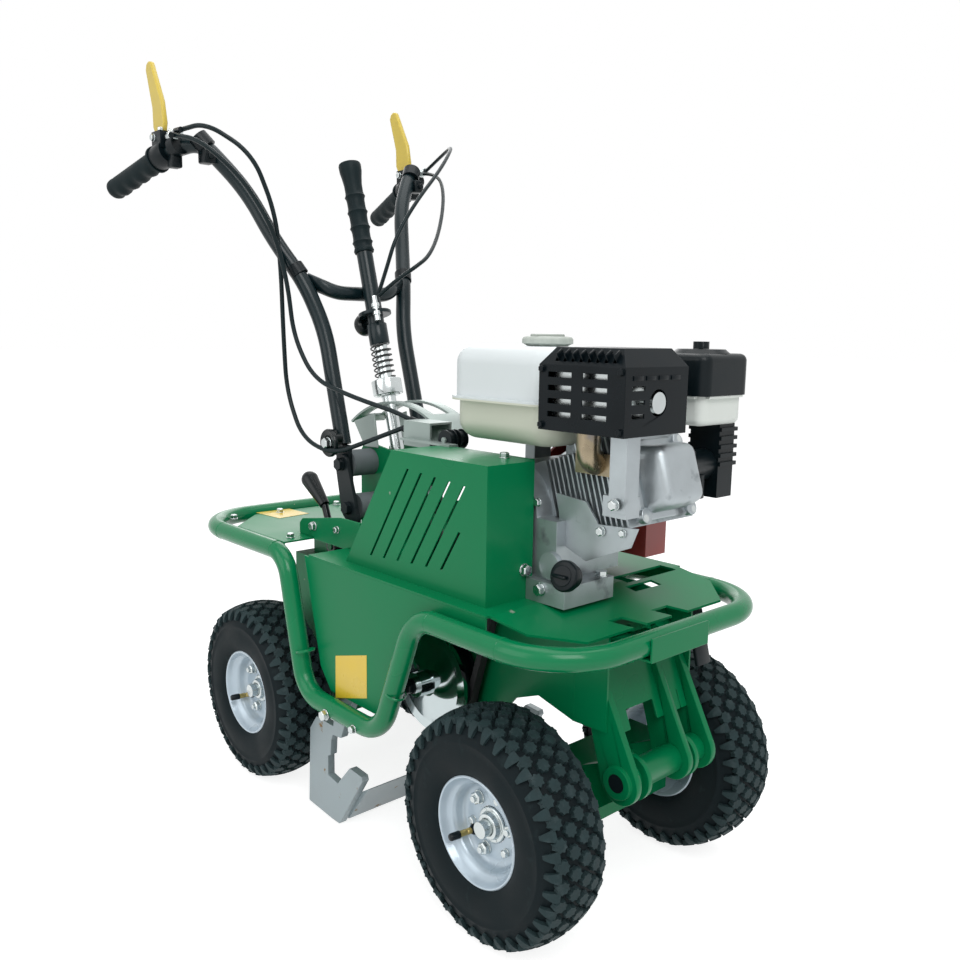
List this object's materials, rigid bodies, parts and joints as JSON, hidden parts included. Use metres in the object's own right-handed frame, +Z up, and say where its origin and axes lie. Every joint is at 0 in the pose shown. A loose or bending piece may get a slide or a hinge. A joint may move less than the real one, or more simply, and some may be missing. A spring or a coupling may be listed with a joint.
{
  "type": "walk-behind turf cutter",
  "caption": "Self-propelled walk-behind turf cutter: tubular frame on wheels, petrol engine, covered belt drive, under-slung cutting blade, handlebar with squeeze levers and a depth lever.",
  "frame": {"origin": "on the ground under the centre of the overall box", "axes": "+X is the direction of travel, towards the front bumper; +Y is the operator's left; +Z is up"},
  "size_m": [1.0093, 0.5718, 1.143],
  "materials": {
    "green_paint": "gloss",
    "black_tube": "gloss",
    "black_paint": "satin",
    "engine_cast": "satin",
    "zinc": "satin",
    "chrome": "gloss",
    "tyre_rubber": "matte",
    "rim_paint": "gloss",
    "bush_rubber": "matte",
    "grip_rubber": "matte",
    "tank_white": "satin",
    "cap_grey": "matte",
    "black_plastic": "satin",
    "cleaner_white": "satin",
    "yellow_lever": "gloss",
    "pipe_bronze": "satin",
    "guard_black": "satin",
    "fan_red": "gloss",
    "belt_rubber": "matte",
    "cable_black": "gloss",
    "blade_grey": "satin",
    "spring_black": "satin",
    "knob_black": "gloss",
    "plate_grey": "satin"
  },
  "bodies": {
    "chassis": {"air_cleaner_body": "cleaner_white", "air_cleaner_cover": "black_plastic", "belly_housing": "green_paint", "belt_guard": "green_paint", "cable_bracket": "plate_grey", "carburettor": "black_plastic", "control_cables": "cable_black", "drive_belt": "belt_rubber", "engine_bolts": "zinc", "engine_crankcase": "engine_cast", "engine_cylinder": "engine_cast", "exhaust_pipe": "pipe_bronze", "fan_cover": "fan_red", "front_deck": "green_paint", "front_lugs": "green_paint", "fuel_tank": "tank_white", "gearbox": "green_paint", "grips": "grip_rubber", "handle_links": "black_paint", "handlebar": "black_tube", "lever_housings": "black_plastic", "main_frame": "green_paint", "middle_deck": "green_paint", "muffler": "guard_black", "muffler_guard": "guard_black", "pivot_pins": "black_paint", "quadrant": "plate_grey", "rear_deck": "green_paint", "rubber_bushes": "bush_rubber", "side_panels": "green_paint", "star_knobs": "knob_black", "tower": "green_paint", "valve_cover": "engine_cast"},
    "crank": {"crankshaft": "zinc", "drive_pulley": "black_paint"},
    "driven": {"driven_shaft": "zinc", "driven_pulley": "black_paint", "eccentric_disc": "chrome"},
    "idler": {"idler_arm": "zinc"},
    "idler_wheel": {"idler_pulley": "black_paint"},
    "carrier": {"front_carrier": "green_paint", "front_axle": "zinc"},
    "wheel_front_right": {"front_tyre_right": "tyre_rubber", "front_rim_right": "rim_paint"},
    "wheel_front_left": {"front_tyre_left": "tyre_rubber", "front_rim_left": "rim_paint"},
    "rear_wheelset": {"rear_tyres": "tyre_rubber", "rear_rims": "rim_paint", "rear_axle": "zinc"},
    "lever": {"depth_lever": "zinc", "depth_lever_grip": "grip_rubber", "latch_spring": "spring_black"},
    "latch": {"latch_sleeve": "zinc"},
    "squeeze_right": {"hand_lever_right": "yellow_lever"},
    "squeeze_left": {"hand_lever_left": "yellow_lever"},
    "shift": {"shift_lever": "knob_black"},
    "blade": {"blade_arms": "blade_grey", "cutting_blade": "blade_grey"},
    "cap": {"fuel_cap": "cap_grey"},
    "rollers": {"cable_rollers": "black_plastic"}
  },
  "joints": [
    {"name": "crank_spin", "type": "hinge", "parent": "chassis", "child": "crank", "pos_m": [0.266, -0.1, 0.5], "axis": [0, 1, 0], "continuous": true},
    {"name": "driven_spin", "type": "hinge", "parent": "chassis", "child": "driven", "pos_m": [0.1635, -0.1, 0.249], "axis": [0, 1, 0], "continuous": true},
    {"name": "idler_swing", "type": "hinge", "parent": "chassis", "child": "idler", "pos_m": [0.1345, -0.11, 0.518], "axis": [0, 1, 0], "range_deg": [-3, 0]},
    {"name": "idler_spin", "type": "hinge", "parent": "idler", "child": "idler_wheel", "pos_m": [0.1485, -0.1, 0.434], "axis": [0, 1, 0], "continuous": true},
    {"name": "carrier_tilt", "type": "hinge", "parent": "chassis", "child": "carrier", "pos_m": [0.467, 0, 0.204], "axis": [0, 1, 0], "range_deg": [0, 9]},
    {"name": "front_right_spin", "type": "hinge", "parent": "carrier", "child": "wheel_front_right", "pos_m": [0.3603, -0.1707, 0.1425], "axis": [0, 1, 0], "continuous": true},
    {"name": "front_left_spin", "type": "hinge", "parent": "carrier", "child": "wheel_front_left", "pos_m": [0.3603, 0.1707, 0.1425], "axis": [0, 1, 0], "continuous": true},
    {"name": "rear_spin", "type": "hinge", "parent": "chassis", "child": "rear_wheelset", "pos_m": [-0.2003, 0, 0.1425], "axis": [0, 1, 0], "continuous": true},
    {"name": "depth_lever_swing", "type": "hinge", "parent": "chassis", "child": "lever", "pos_m": [-0.034, 0, 0.418], "axis": [0, 1, 0], "range_deg": [0, 14]},
    {"name": "latch_slide", "type": "slide", "parent": "lever", "child": "latch", "axis": [-0.2756, 0, 0.9613], "range_m": [0, 0.012], "stiffness_N_per_m": 900, "springref_m": -0.012, "deforming": ["latch_spring"]},
    {"name": "squeeze_right_pivot", "type": "hinge", "parent": "chassis", "child": "squeeze_right", "pos_m": [-0.3662, -0.2411, 1.0203], "axis": [0, 1, 0], "range_deg": [-25, 0], "stiffness_Nm_per_rad": 2, "springref_deg": 11.46},
    {"name": "squeeze_left_pivot", "type": "hinge", "parent": "chassis", "child": "squeeze_left", "pos_m": [-0.3662, 0.2411, 1.0203], "axis": [0, 1, 0], "range_deg": [-25, 0], "stiffness_Nm_per_rad": 2, "springref_deg": 11.46},
    {"name": "shift_swing", "type": "hinge", "parent": "chassis", "child": "shift", "pos_m": [-0.16, -0.062, 0.372], "axis": [0, 1, 0], "range_deg": [-8, 10]},
    {"name": "blade_rock", "type": "hinge", "parent": "chassis", "child": "blade", "pos_m": [0.051, 0, 0.226], "axis": [0, 1, 0], "range_deg": [-2.5, 2.5]},
    {"name": "fuel_cap_turn", "type": "hinge", "parent": "chassis", "child": "cap", "pos_m": [0.258, 0, 0.714], "axis": [0, 0, 1], "range_deg": [-120, 0]},
    {"name": "roller_spin", "type": "hinge", "parent": "chassis", "child": "rollers", "pos_m": [0.134, -0.055, 0.577], "axis": [0, 1, 0], "continuous": true}
  ],
  "couplings": [
    {"joint": "driven_spin", "follows": "crank_spin", "ratio": 0.623},
    {"joint": "idler_swing", "follows": "squeeze_right_pivot", "ratio": 0.12},
    {"joint": "carrier_tilt", "follows": "depth_lever_swing", "ratio": 0.64}
  ]
}
